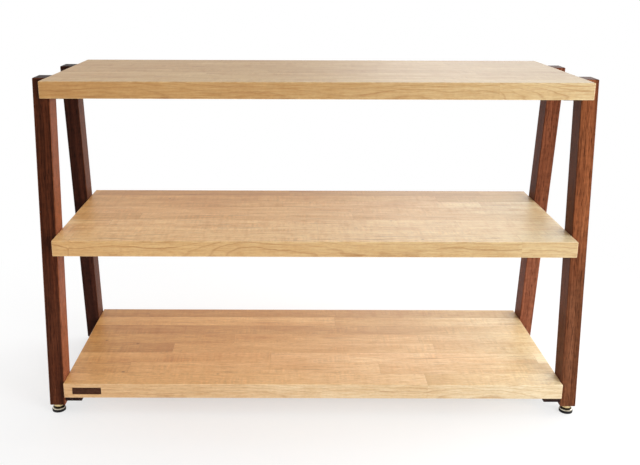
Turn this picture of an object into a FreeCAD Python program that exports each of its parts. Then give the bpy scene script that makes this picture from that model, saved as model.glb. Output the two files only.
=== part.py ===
import FreeCAD, Part
import os
import Sketcher

# Open record rack: three equal slab shelves between two leaning end frames.
# Each end frame is a pair of legs outside the shelf ends, joined by a bearer under every shelf.
# Each leg stands on a levelling foot that screws into an insert in its level-cut bottom.
# Frame: origin on the floor under the middle of the rack, X along the shelves, front towards -Y, Z up.

doc = FreeCAD.newDocument("record_rack")
sizes = doc.addObject("Spreadsheet::Sheet", "sizes")

DRIVING_SIZES = [
    # shelves
    ("shelf_length", 1219),
    ("shelf_depth", 457),
    ("shelf_thick", 38),
    ("shelf_pitch", 367),
    # legs: setbacks run from a long edge of the shelves in to the outer face of a leg
    ("leg_width", 38),
    ("leg_depth", 55),
    ("leg_toe", 23.5),
    ("leg_drop", 3),
    ("setback_low", 5.5),
    ("setback_high", 82.5),
    ("edge_ease", 1.5),
    # bearers under the shelf ends
    ("bearer_width", 41.5),
    ("bearer_thick", 12.5),
    # foot axis: its distances from the front or rear face and from the outer face of its leg
    ("foot_inset", 17.5),
    ("foot_side", 16.5),
    # insert and levelling screw: thread_room is the radial running clearance
    ("insert_outer", 12.5),
    ("insert_long", 20),
    ("stem_thick", 8),
    ("stem_long", 32),
    ("thread_room", 0.05),
    ("bore_room", 0.5),
    ("bore_spare", 4),
    # hub and neck of the levelling screw
    ("hub_outer", 23),
    ("hub_tall", 9),
    ("hub_round", 4),
    ("hub_bevel", 1),
    ("neck_thick", 17),
    ("neck_tall", 3),
    # pivot and riveted end of the levelling screw
    ("pivot_thick", 10),
    ("pivot_room", 0.05),
    ("rivet_outer", 14),
    ("rivet_tall", 1.7),
    ("rivet_gap", 0.2),
    # ring and base of the foot
    ("ring_outer", 31),
    ("ring_thick", 3.5),
    ("ring_spigot", 24),
    ("ring_sink", 2),
    ("ring_bevel", 1),
    ("base_outer", 33),
    ("base_thick", 6.5),
    ("base_floor", 2),
    ("base_bevel", 1.2),
    ("cavity_outer", 16),
]

for row, (alias, number) in enumerate(DRIVING_SIZES, start=1):
    sizes.set(f"A{row}", alias)
    sizes.set(f"B{row}", str(number))
    sizes.setAlias(f"B{row}", alias)
doc.recompute()

LEVELS = ("bottom", "middle", "top")
SIDES = {"left": -1, "right": 1}
ENDS = {"front": -1, "rear": 1}

# Heights and spans that follow from the driving sizes.
FOOT_TALL = "(sizes.base_thick + sizes.ring_thick + sizes.neck_tall + sizes.hub_tall)"
LEG_TALL = "(sizes.leg_toe + 2 * sizes.shelf_pitch + sizes.shelf_thick - sizes.leg_drop)"
SPAN_LOW = "(sizes.shelf_depth / 2 - sizes.setback_low)"
LEAN_RUN = "(sizes.setback_high - sizes.setback_low)"
HALF_LENGTH = "(sizes.shelf_length / 2)"
FOOT_X = "(sizes.shelf_length / 2 + sizes.leg_width - sizes.foot_side)"
FOOT_Y = f"({SPAN_LOW} - sizes.foot_inset)"


def shelf_under(level):
    """Height of a shelf's underside above the bottom of the legs."""
    return f"(sizes.leg_toe + {level} * sizes.shelf_pitch)"


def lean_at(height):
    """How far the legs have leaned in at a height above their bottoms."""
    return f"({LEAN_RUN} * {height} / {LEG_TALL})"


def number(expression):
    """Present value of an expression, for first guesses in sketches."""
    return float(sizes.evalExpression(expression))


def new_body(label):
    body = doc.addObject("PartDesign::Body", label)
    body.Label = label
    return body


def new_sketch(body, name, role):
    sketch = body.newObject("Sketcher::SketchObject", name)
    planes = [feature for feature in body.Origin.OriginFeatures if feature.Role == role]
    sketch.AttachmentSupport = [(planes[0], "")]
    sketch.MapMode = "FlatFace"
    return sketch


def set_distance(sketch, kind, geometry, point, side, expression, name):
    """Dimension one coordinate of a point from the sketch origin, on the side given."""
    if side > 0:
        constraint = Sketcher.Constraint(kind, -1, 1, geometry, point, number(expression))
    else:
        constraint = Sketcher.Constraint(kind, geometry, point, -1, 1, number(expression))
    index = sketch.addConstraint(constraint)
    sketch.renameConstraint(index, name)
    sketch.setExpression(f"Constraints.{name}", expression)


def set_point(sketch, geometry, point, across, up, name):
    """Place a point by (side, expression) pairs; side 0 puts it on the axis."""
    if across[0] == 0:
        sketch.addConstraint(Sketcher.Constraint("PointOnObject", geometry, point, -2))
    else:
        set_distance(sketch, "DistanceX", geometry, point, across[0], across[1], name + "_across")
    if up[0] == 0:
        sketch.addConstraint(Sketcher.Constraint("PointOnObject", geometry, point, -1))
    else:
        set_distance(sketch, "DistanceY", geometry, point, up[0], up[1], name + "_up")


def guess(across, up):
    x = across[0] * number(across[1])
    y = up[0] * number(up[1])
    return FreeCAD.Vector(x, y, 0)


def add_outline(sketch, corners):
    """Closed outline through corners given as pairs of (side, expression)."""
    points = [guess(across, up) for across, up in corners]
    count = len(points)
    for i in range(count):
        sketch.addGeometry(Part.LineSegment(points[i], points[(i + 1) % count]))
    for i in range(count):
        sketch.addConstraint(Sketcher.Constraint("Coincident", i, 2, (i + 1) % count, 1))
    for i, (across, up) in enumerate(corners):
        set_point(sketch, i, 1, across, up, f"corner_{i}")


def add_circle(sketch, across, up, diameter, name):
    radius = number(diameter) / 2
    circle = Part.Circle(guess(across, up), FreeCAD.Vector(0, 0, 1), radius)
    geometry = sketch.addGeometry(circle)
    set_point(sketch, geometry, 3, across, up, name)
    index = sketch.addConstraint(Sketcher.Constraint("Diameter", geometry, 2 * radius))
    sketch.renameConstraint(index, name + "_wide")
    sketch.setExpression(f"Constraints.{name}_wide", diameter)


def extrude(body, kind, name, sketch, length, reverse):
    feature = body.newObject(kind, name)
    feature.Profile = sketch
    feature.Reversed = reverse
    feature.setExpression("Length", length)
    sketch.Visibility = False
    doc.recompute()
    return feature


def pad(body, name, sketch, length, reverse=False):
    return extrude(body, "PartDesign::Pad", name, sketch, length, reverse)


def pocket(body, name, sketch, length, reverse=False):
    before = body.Shape.Volume
    feature = extrude(body, "PartDesign::Pocket", name, sketch, length, reverse)
    if body.Shape.Volume > before - 1:
        raise RuntimeError(f"{body.Label}: {name} removes nothing")
    return feature


def revolve(body, name, sketch):
    feature = body.newObject("PartDesign::Revolution", name)
    feature.Profile = sketch
    feature.ReferenceAxis = (sketch, ["V_Axis"])
    feature.Angle = 360
    sketch.Visibility = False
    doc.recompute()
    return feature


def ease_all(body, base, kind="PartDesign::Chamfer", size="Size"):
    """Take the sharp arris off every edge of a timber piece."""
    ease = body.newObject(kind, "ease")
    ease.Base = (base, ["Edge1"])
    ease.UseAllEdges = True
    ease.setExpression(size, "sizes.edge_ease")
    doc.recompute()


def round_rim(body, base, name, diameter, height, radius):
    """Round the circular edge of a turned piece found by its diameter and height."""
    names = []
    for i, edge in enumerate(base.Shape.Edges, start=1):
        circular = hasattr(edge.Curve, "Radius")
        if not circular:
            continue
        same_width = abs(edge.Curve.Radius - number(diameter) / 2) < 0.001
        same_height = abs(edge.CenterOfMass.z - number(height)) < 0.001
        if same_width and same_height:
            names.append(f"Edge{i}")
    rounding = body.newObject("PartDesign::Fillet", name)
    rounding.Base = (base, names)
    rounding.setExpression("Radius", radius)
    doc.recompute()
    return rounding


def stand(piece, x, y, z, half_turn=False):
    """Place a piece by expressions, turned half round about Z if asked."""
    angle = 180 if half_turn else 0
    piece.Placement = FreeCAD.Placement(FreeCAD.Vector(), FreeCAD.Rotation(FreeCAD.Vector(0, 0, 1), angle))
    piece.setExpression("Placement.Base.x", x)
    piece.setExpression("Placement.Base.y", y)
    piece.setExpression("Placement.Base.z", z)


nodes = []


# Shelves: slabs with their edges rounded over.
def make_shelf(level):
    body = new_body(f"{LEVELS[level]}_shelf")
    outline = new_sketch(body, "slab_outline", "XY_Plane")
    across = "sizes.shelf_length / 2"
    deep = "sizes.shelf_depth / 2"
    add_outline(outline, [
        ((-1, across), (-1, deep)),
        ((1, across), (-1, deep)),
        ((1, across), (1, deep)),
        ((-1, across), (1, deep)),
    ])
    slab = pad(body, "slab", outline, "sizes.shelf_thick")
    ease_all(body, slab, "PartDesign::Fillet", "Radius")
    stand(body, "0", "0", f"{FOOT_TALL} + {shelf_under(level)}")
    nodes.append(body)


# Legs: a leaning parallelogram cut level at both ends; the inner face lies at local X 0.
# A leg turned half round serves the opposite corner.
def make_leg(end_name, side_name):
    end = ENDS[end_name]
    side = SIDES[side_name]
    outward = -side * end
    body = new_body(f"{end_name}_{side_name}_leg")
    outline = new_sketch(body, "leaning_outline", "YZ_Plane")
    add_outline(outline, [
        ((0, "0"), (0, "0")),
        ((1, "sizes.leg_depth"), (0, "0")),
        ((1, f"sizes.leg_depth + {LEAN_RUN}"), (1, LEG_TALL)),
        ((1, LEAN_RUN), (1, LEG_TALL)),
    ])
    blank = pad(body, "blank", outline, "sizes.leg_width", reverse=outward < 0)
    ease_all(body, blank)
    centre = ((outward, "(sizes.leg_width - sizes.foot_side)"), (1, "sizes.foot_inset"))
    mouth = new_sketch(body, "insert_place", "XY_Plane")
    add_circle(mouth, centre[0], centre[1], "sizes.insert_outer", "insert")
    pocket(body, "insert_hole", mouth, "sizes.insert_long", reverse=True)
    bore = new_sketch(body, "stem_place", "XY_Plane")
    add_circle(bore, centre[0], centre[1], "(sizes.stem_thick + 2 * sizes.bore_room)", "stem")
    pocket(body, "stem_bore", bore, "sizes.stem_long + sizes.bore_spare", reverse=True)
    x = f"{side} * {HALF_LENGTH}"
    y = f"{end} * {SPAN_LOW}"
    stand(body, x, y, FOOT_TALL, half_turn=end > 0)
    nodes.append(body)


# Bearers: strips with ends bevelled to the lean of the legs; the leg side lies at local X 0.
def make_bearer(level, side_name):
    side = SIDES[side_name]
    body = new_body(f"{LEVELS[level]}_{side_name}_bearer")
    low_half = f"({SPAN_LOW} - {lean_at(f'({shelf_under(level)} - sizes.bearer_thick)')})"
    high_half = f"({SPAN_LOW} - {lean_at(shelf_under(level))})"
    outline = new_sketch(body, "bevelled_outline", "YZ_Plane")
    add_outline(outline, [
        ((-1, low_half), (0, "0")),
        ((1, low_half), (0, "0")),
        ((1, high_half), (1, "sizes.bearer_thick")),
        ((-1, high_half), (1, "sizes.bearer_thick")),
    ])
    strip = pad(body, "strip", outline, "sizes.bearer_width")
    ease_all(body, strip)
    z = f"{FOOT_TALL} + {shelf_under(level)} - sizes.bearer_thick"
    stand(body, f"{side} * {HALF_LENGTH}", "0", z, half_turn=side > 0)
    nodes.append(body)


for level in range(3):
    make_shelf(level)
for end_name in ENDS:
    for side_name in SIDES:
        make_leg(end_name, side_name)
for level in range(3):
    for side_name in SIDES:
        make_bearer(level, side_name)


# Inserts: plain rings in the leg bottoms, with running clearance on the stem.
def add_round(name, place, radius, height):
    piece = doc.addObject("Part::Cylinder", name)
    piece.setExpression("Radius", radius)
    piece.setExpression("Height", height)
    for letter, expression in zip("xyz", place):
        piece.setExpression(f"Placement.Base.{letter}", expression)
    return piece


def make_insert(end_name, side_name):
    place = (f"{SIDES[side_name]} * {FOOT_X}", f"{ENDS[end_name]} * {FOOT_Y}", FOOT_TALL)
    name = f"{end_name}_{side_name}_insert"
    outer = add_round(name + "_outer", place, "sizes.insert_outer / 2", "sizes.insert_long")
    inner = add_round(name + "_inner", place, "sizes.stem_thick / 2 + sizes.thread_room", "sizes.insert_long")
    ring = doc.addObject("Part::Cut", name)
    ring.Base = outer
    ring.Tool = inner
    return ring


inserts = doc.addObject("Part::Compound", "foot_inserts")
inserts.Links = [make_insert(end_name, side_name) for end_name in ENDS for side_name in SIDES]
nodes.append(inserts)


# Levelling feet: profiles turned about the upright axis, with local Z 0 on the floor.
def new_turning(label, corners):
    body = new_body(label)
    profile = new_sketch(body, "profile", "XZ_Plane")
    add_outline(profile, corners)
    turned = revolve(body, "turned", profile)
    return body, turned


def make_foot(end_name, side_name):
    corner = f"{end_name}_{side_name}"
    x = f"{SIDES[side_name]} * {FOOT_X}"
    y = f"{ENDS[end_name]} * {FOOT_Y}"
    on_axis = (0, "0")
    floor = (0, "0")
    base_top = (1, "sizes.base_thick")
    sink = (1, "(sizes.base_thick - sizes.ring_sink)")
    ring_top = (1, "(sizes.base_thick + sizes.ring_thick)")
    neck_top = (1, "(sizes.base_thick + sizes.ring_thick + sizes.neck_tall)")
    hub_top = (1, FOOT_TALL)
    stem_top = (1, f"({FOOT_TALL} + sizes.stem_long)")
    rivet_top = (1, "(sizes.base_thick - sizes.ring_sink - sizes.rivet_gap)")
    rivet_low = (1, "(sizes.base_thick - sizes.ring_sink - sizes.rivet_gap - sizes.rivet_tall)")
    base_side = (1, "sizes.base_outer / 2")
    spigot_side = (1, "sizes.ring_spigot / 2")
    cavity_side = (1, "sizes.cavity_outer / 2")
    cavity_floor = (1, "sizes.base_floor")
    ring_side = (1, "sizes.ring_outer / 2")
    hole_side = (1, "(sizes.pivot_thick / 2 + sizes.pivot_room)")
    pivot_side = (1, "sizes.pivot_thick / 2")
    rivet_side = (1, "sizes.rivet_outer / 2")
    neck_side = (1, "sizes.neck_thick / 2")
    hub_side = (1, "sizes.hub_outer / 2")
    stem_side = (1, "sizes.stem_thick / 2")
    base, _ = new_turning(f"{corner}_foot_base", [
        (on_axis, floor),
        ((1, "(sizes.base_outer / 2 - sizes.base_bevel)"), floor),
        (base_side, (1, "sizes.base_bevel")),
        (base_side, base_top),
        (spigot_side, base_top),
        (spigot_side, sink),
        (cavity_side, sink),
        (cavity_side, cavity_floor),
        (on_axis, cavity_floor),
    ])
    ring, _ = new_turning(f"{corner}_foot_ring", [
        (hole_side, sink),
        (spigot_side, sink),
        (spigot_side, base_top),
        (ring_side, base_top),
        (ring_side, (1, f"({ring_top[1]} - sizes.ring_bevel)")),
        ((1, "(sizes.ring_outer / 2 - sizes.ring_bevel)"), ring_top),
        (hole_side, ring_top),
    ])
    screw, turned = new_turning(f"{corner}_levelling_screw", [
        (on_axis, rivet_low),
        (rivet_side, rivet_low),
        (rivet_side, rivet_top),
        (pivot_side, rivet_top),
        (pivot_side, ring_top),
        (neck_side, ring_top),
        (neck_side, neck_top),
        ((1, "(sizes.hub_outer / 2 - sizes.hub_bevel)"), neck_top),
        (hub_side, (1, f"({neck_top[1]} + sizes.hub_bevel)")),
        (hub_side, hub_top),
        (stem_side, hub_top),
        (stem_side, stem_top),
        (on_axis, stem_top),
    ])
    round_rim(screw, turned, "dome", "sizes.hub_outer", hub_top[1], "sizes.hub_round")
    for piece in (base, ring, screw):
        stand(piece, x, y, "0")
        nodes.append(piece)


for end_name in ENDS:
    for side_name in SIDES:
        make_foot(end_name, side_name)

doc.recompute()

for item in doc.Objects:
    if "Invalid" in item.State or "Error" in item.State:
        raise RuntimeError(f"{item.Label} did not build: {item.State}")
for node in nodes:
    if node.Shape.isNull() or not node.Shape.isValid():
        raise RuntimeError(f"{node.Label} has no valid shape")

os.makedirs("parts", exist_ok=True)
for node in nodes:
    node.Shape.exportStep(f"parts/{node.Label}.step")
    print(node.Label, len(node.Shape.Solids), round(node.Shape.Volume))
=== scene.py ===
# %% [markdown]
# # An open record rack in maple and walnut
# The rack has three thick maple slabs between two walnut end frames that lean together towards the top.
# Each leg stands on a turned foot with a levelling screw.
# The CAD model fixes every size and moving body, and here its pieces are rounded, threaded and finished.

# %% Load the frame
import math
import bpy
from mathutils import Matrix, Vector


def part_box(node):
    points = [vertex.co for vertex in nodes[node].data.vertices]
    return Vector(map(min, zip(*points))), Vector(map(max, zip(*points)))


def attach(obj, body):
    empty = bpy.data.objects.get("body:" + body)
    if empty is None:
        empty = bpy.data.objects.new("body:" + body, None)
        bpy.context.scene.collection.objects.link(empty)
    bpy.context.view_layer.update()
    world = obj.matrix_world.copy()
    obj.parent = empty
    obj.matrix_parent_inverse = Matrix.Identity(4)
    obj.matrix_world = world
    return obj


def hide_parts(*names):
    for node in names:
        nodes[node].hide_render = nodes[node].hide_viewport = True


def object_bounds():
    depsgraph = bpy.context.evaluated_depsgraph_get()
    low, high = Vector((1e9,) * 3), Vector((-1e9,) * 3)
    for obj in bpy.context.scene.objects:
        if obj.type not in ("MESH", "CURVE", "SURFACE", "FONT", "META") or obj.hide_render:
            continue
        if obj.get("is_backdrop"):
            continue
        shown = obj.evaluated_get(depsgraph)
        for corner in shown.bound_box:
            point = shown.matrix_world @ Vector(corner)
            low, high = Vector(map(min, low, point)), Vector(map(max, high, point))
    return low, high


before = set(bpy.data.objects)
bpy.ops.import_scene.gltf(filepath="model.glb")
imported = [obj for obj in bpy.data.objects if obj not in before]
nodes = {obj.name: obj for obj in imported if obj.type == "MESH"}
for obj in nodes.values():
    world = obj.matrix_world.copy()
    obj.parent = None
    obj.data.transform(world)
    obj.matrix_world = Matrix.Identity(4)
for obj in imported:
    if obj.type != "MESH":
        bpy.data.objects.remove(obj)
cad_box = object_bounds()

from types import SimpleNamespace

import bmesh
import bpy
from mathutils import Matrix, Vector

print("CAD box:", [round(c, 4) for corner in cad_box for c in corner])

# %% [markdown]
# ## Where the photographer stood
# The camera comes first.
# It could be placed by eye, but its place and lens are worked out from the edges of the shelves and legs.
# The picture was trimmed more on one side than the other, and the lens shift repeats that trimming.

# %% Camera
IMAGE_WIDE = 640
FOCAL_PIXELS = 810.71
SENSOR_WIDE = 36
TRIM_X, TRIM_Y = 0.0476, -0.0338
CAMERA_PLACE = (-0.0608, -2.00395, 1.04849)
SWING, TILT, ROLL = -0.00106, 0.28694, 0.00325

camera_data = bpy.data.cameras.new("camera")
camera_data.sensor_width = SENSOR_WIDE
camera_data.lens = SENSOR_WIDE * FOCAL_PIXELS / IMAGE_WIDE
camera_data.shift_x = TRIM_X
camera_data.shift_y = TRIM_Y

camera = bpy.data.objects.new("camera", camera_data)
swing = Matrix.Rotation(SWING, 4, "Z")
tilt = Matrix.Rotation(math.pi / 2 - TILT, 4, "X")
roll = Matrix.Rotation(ROLL, 4, "Z")
camera.rotation_euler = (swing @ tilt @ roll).to_euler()
camera.location = CAMERA_PLACE
bpy.context.scene.collection.objects.link(camera)
bpy.context.scene.camera = camera
print("camera lens:", round(camera_data.lens, 2), "mm")

# %% [markdown]
# ## Shelves
# A shelf is a slab of edge-glued staves, planed flat, with its arrises rounded so that they don't bruise.
# It could stay a sharp box, but a real edge always catches a line of light.
# So a slab starts as a cube and gets a bevel, which hardens its normals and keeps the wide faces flat.

# %% Blocks with rounded edges
SHARP_EDGE = math.radians(35)


def begin():
    """Leave nothing selected, so that an operator only touches what is made next."""
    bpy.ops.object.select_all(action="DESELECT")


def activate(piece):
    """Select one piece and nothing else, for the operators that follow."""
    begin()
    piece.select_set(True)
    bpy.context.view_layer.objects.active = piece


def settle(name):
    """Name the active piece, and put its place and size into its mesh."""
    piece = bpy.context.object
    piece.name = name
    piece.data.name = name
    bpy.ops.object.transform_apply(location=True, rotation=True, scale=True)
    return piece


def add_block(name, low, high):
    """A block between two corners, as the start of a piece."""
    begin()
    size = [high[i] - low[i] for i in range(3)]
    middle = [(high[i] + low[i]) / 2 for i in range(3)]
    bpy.ops.mesh.primitive_cube_add(size=1, location=middle, scale=size)
    return settle(name)


def round_edges(piece, width, segments):
    """Round every sharp edge with an applied bevel."""
    activate(piece)
    bpy.ops.object.shade_smooth()
    bevel = piece.modifiers.new("rounded", "BEVEL")
    bevel.width = width
    bevel.segments = segments
    bevel.limit_method = "ANGLE"
    bevel.angle_limit = SHARP_EDGE
    bevel.harden_normals = True
    bpy.ops.object.modifier_apply(modifier=bevel.name)


print("edges sharper than", round(math.degrees(SHARP_EDGE)), "degrees are rounded")

# %% Slabs
LEVELS = ("bottom", "middle", "top")
SLAB_ROUNDING = 0.0018
SLAB_SEGMENTS = 3

slabs = {}
for level in LEVELS:
    node = f"{level}_shelf"
    slab = add_block(f"{level}_slab", *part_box(node))
    round_edges(slab, SLAB_ROUNDING, SLAB_SEGMENTS)
    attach(slab, "rack")
    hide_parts(node)
    slabs[level] = slab
print("slab faces:", [len(slab.data.polygons) for slab in slabs.values()])

# %% [markdown]
# ## A bare plate
# Near the left end of the lowest slab a thin dark plate is let into the front edge.
# A thin box laid on the wood would stand proud of it, so the slab gets a pocket, and the plate fills it.
# The plate's face is inset and pressed in a little, which leaves a narrow raised border.

# %% Cutting and picking faces
def cut_away(piece, cutter):
    """Cut one piece with another, and throw the cutter away."""
    activate(piece)
    cut = piece.modifiers.new("cut", "BOOLEAN")
    cut.operation = "DIFFERENCE"
    cut.solver = "EXACT"
    cut.object = cutter
    bpy.ops.object.modifier_apply(modifier=cut.name)
    bpy.data.objects.remove(cutter)


def open_mesh():
    """Go into edit mode with the whole mesh selected."""
    bpy.ops.object.mode_set(mode="EDIT")
    bpy.ops.mesh.select_all(action="SELECT")


def close_mesh():
    bpy.ops.object.mode_set(mode="OBJECT")


def pick_faces(piece, wanted):
    """In edit mode, select only the faces whose middle and normal pass a test."""
    bpy.ops.mesh.select_mode(type="FACE")
    bpy.ops.mesh.select_all(action="DESELECT")
    mesh = bmesh.from_edit_mesh(piece.data)
    for face in mesh.faces:
        face.select_set(wanted(face.calc_center_median(), face.normal))
    bmesh.update_edit_mesh(piece.data)


print("helpers made for cutting and picking faces")

# %% Plate and its pocket
PLATE_LEFT, PLATE_RIGHT = -0.5885, -0.5180
PLATE_LOW, PLATE_HIGH = 0.0550, 0.0732
PLATE_DEEP = 0.0016
PLATE_SET_BACK = 0.0001
PLATE_GAP = 0.0002
PLATE_BORDER = 0.0011
PLATE_STEP = 0.0003
PLATE_ROUNDING = 0.0001
PLATE_SEGMENTS = 2
CUTTER_REACH = 0.01
FACING = 0.9

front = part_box("bottom_shelf")[0].y
pocket = add_block(
    "pocket",
    (PLATE_LEFT, front - CUTTER_REACH, PLATE_LOW),
    (PLATE_RIGHT, front + PLATE_DEEP, PLATE_HIGH),
)
cut_away(slabs["bottom"], pocket)

plate = add_block(
    "bare_plate",
    (PLATE_LEFT + PLATE_GAP, front + PLATE_SET_BACK, PLATE_LOW + PLATE_GAP),
    (PLATE_RIGHT - PLATE_GAP, front + PLATE_DEEP, PLATE_HIGH - PLATE_GAP),
)
open_mesh()
pick_faces(plate, lambda middle, normal: normal.y < -FACING)
bpy.ops.mesh.inset(thickness=PLATE_BORDER, depth=0)
bpy.ops.mesh.inset(thickness=PLATE_STEP, depth=-PLATE_STEP)
close_mesh()
round_edges(plate, PLATE_ROUNDING, PLATE_SEGMENTS)
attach(plate, "rack")
print("plate faces:", len(plate.data.polygons), "slab faces:", len(slabs["bottom"].data.polygons))

# %% [markdown]
# ## Feet
# A foot is turned metal on a black pad: a domed brass hub, a slim neck, a plated ring and the pad under it.
# It could be spun from a drawn profile, but turned work is also just a stack of circles.
# So each piece is a disc that is extruded up ring by ring and resized on the way.

# %% Turned pieces
MM_PER_M = 1000.0
TURNED_SEGMENTS = 64
base_low, base_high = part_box("front_right_foot_base")
FOOT_X = (base_low.x + base_high.x) / 2
FOOT_Y = -(base_low.y + base_high.y) / 2


def face_outwards():
    """In edit mode, turn all normals of a closed mesh outwards."""
    bpy.ops.mesh.select_all(action="SELECT")
    bpy.ops.mesh.normals_make_consistent(inside=False)


def turn(name, rings):
    """A turned solid from (radius, height) rings in millimetres, on the front left foot's axis."""
    begin()
    radius, height = rings[0]
    at = Vector((-FOOT_X, -FOOT_Y, height / MM_PER_M))
    bpy.ops.mesh.primitive_circle_add(
        vertices=TURNED_SEGMENTS, radius=radius / MM_PER_M, fill_type="NGON", location=at,
    )
    open_mesh()
    for next_radius, next_height in rings[1:]:
        rise = (next_height - height) / MM_PER_M
        bpy.ops.mesh.extrude_region_move(TRANSFORM_OT_translate={"value": (0, 0, rise)})
        at.z = next_height / MM_PER_M
        growth = next_radius / radius
        bpy.ops.transform.resize(value=(growth, growth, 1), center_override=at)
        radius, height = next_radius, next_height
    face_outwards()
    close_mesh()
    return settle(name)


pad = turn("pad", [
    (15.0, 0), (16.3, 0.5), (16.5, 1.3), (16.5, 2.6), (16.1, 2.9), (16.1, 3.4), (16.5, 3.7),
    (16.5, 5.8), (16.1, 6.3), (15.6, 6.5), (12.02, 6.5), (12.0, 4.5), (8.0, 4.5), (8.0, 2.0),
])
ring = turn("ring", [
    (5.05, 4.5), (12.0, 4.5), (12.0, 6.5), (15.3, 6.5), (15.5, 6.8), (15.5, 8.9), (15.3, 9.4),
    (14.9, 9.75), (14.3, 10.0), (12.6, 10.0), (12.4, 9.8), (11.6, 9.8), (11.4, 10.0), (5.05, 10.0),
])
print("pad faces:", len(pad.data.polygons), "ring faces:", len(ring.data.polygons))

# %% [markdown]
# The ring has a hole for the pivot, so its two end discs come off, and the open rims are bridged.
# A boolean could cut the hole too, but its two rims are there already and only need a wall between them.

# %% Open the ring
NEAR_AXIS = 0.0005


def is_end_disc(middle, normal):
    """True for the two level discs on the foot's axis."""
    from_axis = Vector((middle.x + FOOT_X, middle.y + FOOT_Y)).length
    return abs(normal.z) > FACING and from_axis < NEAR_AXIS


activate(ring)
open_mesh()
pick_faces(ring, is_end_disc)
bpy.ops.mesh.delete(type="ONLY_FACE")
bpy.ops.mesh.select_mode(type="EDGE")
bpy.ops.mesh.select_all(action="DESELECT")
bpy.ops.mesh.select_non_manifold()
bpy.ops.mesh.bridge_edge_loops()
face_outwards()
close_mesh()
print("ring faces with its bore:", len(ring.data.polygons))

# %% [markdown]
# ## Levelling screw
# The hub, neck, pivot and stem are one turned brass piece, held under the ring by its riveted end.
# A straight cylinder would do for the stem while it is up inside the leg.
# When the foot is screwed out its thread shows, so a Screw modifier winds a small tooth up the stem.

# %% Hub and stem
# in millimetres; the gap keeps the hub's flat top just clear of the leg's underside
LEG_UNDERSIDE = 22.0
SEAT_GAP = 0.002
DOME_RADIUS = 4.0
DOME_STEPS = 5
hub_top = LEG_UNDERSIDE - SEAT_GAP
dome_middle = (7.5, hub_top - DOME_RADIUS)

dome = []
for step in range(DOME_STEPS + 1):
    angle = math.pi / 2 * step / DOME_STEPS
    radius = dome_middle[0] + DOME_RADIUS * math.cos(angle)
    dome.append((radius, dome_middle[1] + DOME_RADIUS * math.sin(angle)))
hub = turn("hub", [
    (6.6, 2.6), (7.0, 2.9), (7.0, 4.3), (5.0, 4.3), (5.0, 10.03), (8.5, 10.03), (8.5, 12.9), (10.6, 13.0),
    (11.2, 13.3), (11.5, 13.9), *dome, (3.35, hub_top), (3.35, 53.4), (2.9, 54.0),
])
print("hub faces:", len(hub.data.polygons))

# %% Thread
PITCH = 0.00125
TOOTH_WIDE = 0.0011
TOOTH_RADIUS = 0.00345
CREST_SHARE = 0.2
THREAD_LOW = 0.0226
THREAD_TURNS = 24
STEPS_IN_A_TURN = 24

begin()
bpy.ops.mesh.primitive_plane_add(
    size=TOOTH_WIDE, rotation=(math.pi / 2, 0, 0), location=(-FOOT_X, -FOOT_Y, THREAD_LOW),
)
thread = bpy.context.object
bpy.ops.object.transform_apply(location=False, rotation=True, scale=False)
open_mesh()
bpy.ops.transform.translate(value=(TOOTH_RADIUS, 0, 0))
mesh = bmesh.from_edit_mesh(thread.data)
for corner in mesh.verts:
    corner.select_set(corner.co.x > TOOTH_RADIUS)
mesh.select_flush_mode()
bmesh.update_edit_mesh(thread.data)
crest = (TOOTH_RADIUS + TOOTH_WIDE / 2 - FOOT_X, -FOOT_Y, THREAD_LOW)
bpy.ops.transform.resize(value=(1, 1, CREST_SHARE), center_override=crest)
bpy.ops.mesh.select_all(action="SELECT")
bpy.ops.mesh.delete(type="ONLY_FACE")
close_mesh()

winding = thread.modifiers.new("winding", "SCREW")
winding.axis = "Z"
winding.screw_offset = PITCH
winding.iterations = THREAD_TURNS
winding.steps = STEPS_IN_A_TURN
winding.render_steps = STEPS_IN_A_TURN
bpy.ops.object.modifier_apply(modifier=winding.name)
open_mesh()
bpy.ops.mesh.fill_holes(sides=4)
face_outwards()
close_mesh()
settle("thread")
print("thread faces:", len(thread.data.polygons))

# %% [markdown]
# The thread and the turned piece are joined, and every turned piece is smooth except at its real corners.
# Linked copies could share one mesh, but a finished piece here keeps its place in its mesh.
# So each corner gets its own copy, which rides on that corner's bodies and stands for the CAD nodes there.

# %% Copies for the four corners
TURNED_CORNER = math.radians(32)
CORNERS = [(end, side) for end in ("front", "rear") for side in ("left", "right")]

activate(hub)
thread.select_set(True)
bpy.ops.object.join()
masters = (
    (pad, "foot", "foot_base", "foot_black"),
    (ring, "foot", "foot_ring", "foot_nickel"),
    (hub, "screw", "levelling_screw", "foot_brass"),
)
foot_pieces = {"foot_base": [], "foot_ring": [], "levelling_screw": []}
for master, body, node, slot in masters:
    activate(master)
    bpy.ops.object.shade_smooth_by_angle(angle=TURNED_CORNER)
for end, side in CORNERS:
    corner = f"{end}_{side}"
    shift = Vector((2 * FOOT_X if side == "right" else 0, 2 * FOOT_Y if end == "rear" else 0, 0))
    for master, body, node, slot in masters:
        activate(master)
        bpy.ops.object.duplicate(linked=False)
        bpy.ops.transform.translate(value=shift)
        piece = settle(f"{corner}_{node}_finished")
        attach(piece, f"{corner}_{body}")
        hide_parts(f"{corner}_{node}")
        foot_pieces[node].append(piece)
for master, body, node, slot in masters:
    bpy.data.objects.remove(master)
print("foot pieces:", {node: len(made) for node, made in foot_pieces.items()})

# %% [markdown]
# ## Wood screws
# Under each bearer three pan-head screws hold the slab above it, seen only by someone on the floor.
# A plain disc would nearly do, but a screw is known by its rounded rim and its cross.
# So a head is a short cylinder with a bevelled rim and two slots cut away.

# %% Screw head
HEAD_RADIUS = 0.0045
HEAD_HIGH = 0.003
HEAD_SIDES = 32
RIM_ROUNDING = 0.0011
RIM_SEGMENTS = 4
SLOT_HALF_LONG, SLOT_HALF_WIDE = 0.0024, 0.00045
SLOT_DEEP = 0.0014
SLOT_CLEAR = 0.0005

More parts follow.
